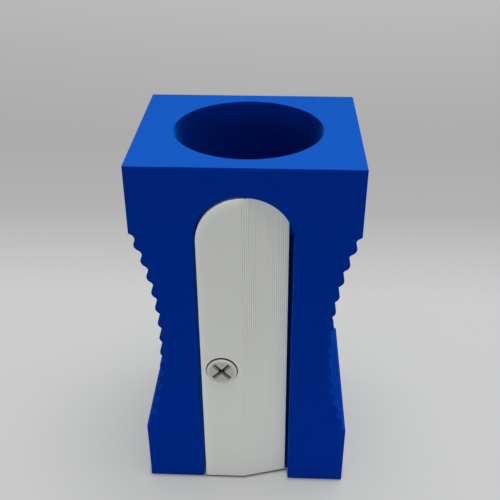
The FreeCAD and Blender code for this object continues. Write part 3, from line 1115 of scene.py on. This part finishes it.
@dataclass
class BladeScrew:
    """The screw: a domed head with a cross slot, and a plain shank."""

    seat: BladeSeat = SEAT
    head_radius: float = 5.8 * MM
    dome_top: float = 35.25 * MM
    dome_foot: float = 35.05 * MM
    shank_radius: float = 2.5 * MM
    shank_end: float = 27.2 * MM
    tip: float = 0.4 * MM
    slot_half_length: float = 4.35 * MM
    slot_half_width: float = 0.8 * MM
    slot_floor: float = 32.7 * MM
    slot_end: float = 33.75 * MM
    slot_turn: float = math.radians(45)
    slot_lift: float = 0.2 * MM
    slot_lean: float = 0.8
    wall: float = 0.14 * MM
    rim_round: float = 0.5 * MM
    sectors: int = 240
    face_rings: int = 92
    rim_points: int = 6
    crease_angle: float = 34.0

    def head(self, reach: np.ndarray, turn: np.ndarray) -> np.ndarray:
        """The head's front.

        The dome is a ball's cap through its top and foot. Inside the cross, which is the deeper of two bars,
        it falls over the width of the slot's wall, along s^2 (3 - 2 s), to a floor that rises evenly from the
        middle to the bars' ends and from each bar's upper side to its lower one.

        Args:
            reach: distances from the screw's axis, one for each ring.
            turn: angles round the axis.

        Returns:
            How far the front lies before the block's middle, as rings and angles.
        """
        rise = self.dome_top - self.dome_foot
        ball = (self.head_radius ** 2 + rise ** 2) / (2 * rise)
        dome = self.dome_top - ball + leg(ball, reach)
        across = reach[:, None] * np.cos(turn - self.slot_turn) - self.slot_lift * math.sin(self.slot_turn)
        along = reach[:, None] * np.sin(turn - self.slot_turn) - self.slot_lift * math.cos(self.slot_turn)
        cut = np.maximum(self.bar(across, along), self.bar(along, across))
        floor = self.slot_floor + (self.slot_end - self.slot_floor) * reach / self.slot_half_length
        return dome[:, None] * (1 - cut) + floor[:, None] * cut

    def bar(self, along: np.ndarray, up: np.ndarray) -> np.ndarray:
        """How deep one bar of the cross is cut, as a share of the slot's depth.

        Args:
            along: distances along the bar from its middle.
            up: distances across it, towards its upper side.

        Returns:
            0 outside the bar and, inside, a share that grows evenly to 1 at its upper side.
        """
        beyond = np.maximum(np.abs(along) - self.slot_half_length, np.abs(up) - self.slot_half_width)
        share = np.clip(0.5 - beyond / self.wall, 0.0, 1.0)
        lean = np.clip(0.5 + 0.5 * up / self.slot_half_width, 0.0, 1.0)
        return share ** 2 * (3 - 2 * share) * (1 - self.slot_lean + self.slot_lean * lean)

    def build(self) -> bpy.types.Object:
        """Make the screw's shell: the head's front, its rounded rim, and the turned profile behind it.

        Returns:
            The piece.
        """
        shell = Shell("domed_screw")
        turn = full_turn(self.sectors)
        inner = self.head_radius - self.rim_round
        reach = np.linspace(0.0, inner, self.face_rings)
        front = self.head(reach, turn)
        bend = quarter(self.rim_points)[1:]
        foot = front[-1].mean()
        turned = [(inner + self.rim_round * math.sin(angle), foot - self.rim_round * (1 - math.cos(angle)))
                  for angle in bend]
        shank = [(self.shank_radius, self.seat.plane), (self.shank_radius, self.shank_end + self.tip),
                 (self.shank_radius - self.tip, self.shank_end), (0.0, self.shank_end)]
        profile = np.array([*turned, (self.head_radius, self.seat.plane), *shank])
        reach = np.concatenate([reach, profile[:, 0]])
        level = np.concatenate([front, np.broadcast_to(profile[:, 1:], (len(profile), len(turn)))])
        across, up = self.seat.screw
        middle = up - np.where(np.arange(len(reach)) < len(reach) - len(shank), self.seat.head_drop, 0.0)
        points = np.stack([across + reach[:, None] * np.cos(turn), -level,
                           middle[:, None] + reach[:, None] * np.sin(turn)], -1)
        shell.skin(shell.add(points), wrap=True)
        return shell.build(self.crease_angle)


@dataclass(frozen=True)
class Lamp:
    """A soft rectangular lamp that looks at the origin."""

    name: str
    place: Triple
    size: Pair
    power: float

    def hang(self) -> None:
        """Put the lamp up."""
        light = bpy.data.lights.new(self.name, "AREA")
        light.shape = "RECTANGLE"
        light.size, light.size_y = self.size
        light.energy = self.power
        lamp = bpy.data.objects.new(self.name, light)
        lamp.location = self.place
        lamp.rotation_euler = (-Vector(self.place)).to_track_quat("-Z", "Y").to_euler()
        bpy.context.scene.collection.objects.link(lamp)


@dataclass
class Studio:
    """A plain pale floor, soft light from above and low in front, and a camera at the photograph's angle."""

    seat: BladeSeat = SEAT
    # the floor's pale tone along Y, with painted shade darkest in a band behind the block
    floor_tones_and_painted_shade: tuple[Pair, ...] = ((-0.05, 0.485), (0.1, 0.492), (0.2, 0.36),
                                     (0.32, 0.332), (0.6, 0.39), (0.9, 0.46))
    floor_green: float = 1.01
    floor_glow: float = 0.5
    floor_light: float = 1.2
    floor_bounce: Pair = (1.28, 0.53)
    bounce_fade: Pair = (60.0 * MM, 350.0 * MM)
    floor_rim: float = 1.8 * MM
    floor_radius: float = 4.0
    floor_sectors: int = 96
    floor_rings: int = 24
    floor_roughness: float = 0.7
    floor_gloss: float = 0.1
    footprint: Pair = (HolderBlock.half_width, HolderBlock.half_depth)
    blade_drop: float = 4.6 * MM
    blade_gap: Pair = (1.3 * MM, 1.6 * MM)
    overhead: Lamp = Lamp("overhead", (0.14, 0.12, 1.8), (1.2, 1.2), 41.5)
    front: Lamp = Lamp("front", (-0.2, -1.6, 0.3), (2.4, 0.5), 7.5)
    fill: float = 0.09
    backdrop: float = 0.45
    eye: Triple = (11.04 * MM, -252.24 * MM, 245.93 * MM)
    yaw: float = math.radians(-2.418)
    pitch: float = math.radians(31.476)
    roll: float = math.radians(-0.095)
    focal_pixels: float = 746.0
    image_pixels: float = 500.0
    near_clip: float = 10.0 * MM

    def floor(self) -> None:
        """Lay a round floor: rings about the origin, closer together near the middle."""
        shell = Shell("floor")
        reach = self.floor_radius * np.linspace(0.0, 1.0, self.floor_rings) ** 2
        rings = reach[:, None, None] * unit_circle(full_turn(self.floor_sectors))
        shell.skin(shell.add(lifted(rings, np.zeros(self.floor_rings))), wrap=True)
        piece = shell.build()
        piece.data.materials.append(self.floor_finish())

    def floor_finish(self) -> bpy.types.Material:
        """Wire the floor's finish.

        Returns:
            The material. Its tone changes from front to back, with painted shade darkest in a band behind the
            block. Where the camera sees it, it glows a little, up to the foot of the block and of the blade;
            the light that it throws back is stronger near them.
        """
        made = bpy.data.materials.new("pale_floor")
        wires = Wiring(made)
        x, y, _ = wires.axes
        low, high = self.floor_tones_and_painted_shade[0][0], self.floor_tones_and_painted_shade[-1][0]
        ramp = wires.node("ValToRGB", Fac=y.span(low, high))
        stops = ramp.color_ramp.elements
        for place, _ in self.floor_tones_and_painted_shade[1:-1]:
            stops.new((place - low) / (high - low))
        for stop, (_, tone) in zip(stops, self.floor_tones_and_painted_shade):
            stop.color = (tone, tone * self.floor_green, tone, 1.0)
        side, front = self.footprint
        sloped = x.span(self.seat.crease, self.seat.right, front, front - self.blade_drop)
        beside = x.span(*(self.seat.right + gap for gap in self.blade_gap), 0.0, self.blade_drop)
        far = wires.reach((abs(x) - side).at_least(0.0), (abs(y) - (sloped + beside)).at_least(0.0))
        bounce = far.span(*self.bounce_fade, *self.floor_bounce)
        seen = wires.seen()
        glow = seen * self.floor_glow * far.span(0.0, self.floor_rim, soft=True)
        plain = (1.0 - seen) * bounce + seen
        tone = Signal(wires, ramp.outputs[0])
        shader = wires.result("BsdfPrincipled", Base_Color=wires.scaled(tone, plain - glow),
                              Roughness=self.floor_roughness, Specular_IOR_Level=self.floor_gloss,
                              Emission_Color=tone, Emission_Strength=glow * self.floor_light)
        wires.node("OutputMaterial", Surface=shader)
        return made

    def light(self) -> None:
        """Hang both lamps, with a weak even fill all round and a lighter backdrop where the camera looks."""
        self.overhead.hang()
        self.front.hang()
        world = bpy.data.worlds.new("even_fill")
        wires = Wiring(world)
        strength = wires.seen().span(0.0, 1.0, self.fill, self.backdrop)
        sky = wires.result("Background", Color=(1.0, 1.0, 1.0, 1.0), Strength=strength)
        wires.node("OutputWorld", Surface=sky)
        bpy.context.scene.world = world

    def camera(self) -> None:
        """Stand the camera where the photograph was taken from."""
        ahead = Vector((math.sin(self.yaw) * math.cos(self.pitch), math.cos(self.yaw) * math.cos(self.pitch),
                        -math.sin(self.pitch)))
        right = Vector((math.cos(self.yaw), -math.sin(self.yaw), 0.0))
        up = right.cross(ahead)
        level = right * math.cos(self.roll) + up * math.sin(self.roll)
        upright = up * math.cos(self.roll) - right * math.sin(self.roll)
        data = bpy.data.cameras.new("camera")
        data.sensor_fit = "HORIZONTAL"
        data.lens = self.focal_pixels / self.image_pixels * data.sensor_width
        data.clip_start = self.near_clip
        eye = bpy.data.objects.new("camera", data)
        turned = Matrix((level, upright, -ahead)).transposed().to_4x4()
        eye.matrix_world = Matrix.Translation(self.eye) @ turned
        bpy.context.scene.collection.objects.link(eye)
        bpy.context.scene.camera = eye

    def build(self) -> None:
        """Set the whole stage."""
        self.floor()
        self.light()
        self.camera()
        bpy.context.scene.view_settings.view_transform = "Standard"


def main() -> None:
    """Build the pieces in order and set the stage."""
    logging.basicConfig(level=logging.INFO)
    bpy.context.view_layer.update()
    settle(HolderBlock().build(), "block", "holder_block", BODY_BLUE)
    settle(BladePlate().build(), "blade", "blade_plate", BLADE_WHITE)
    settle(BladeScrew().build(), "screw", "blade_screw", SCREW_GREY)
    Studio().build()


if __name__ == "__main__":
    main()
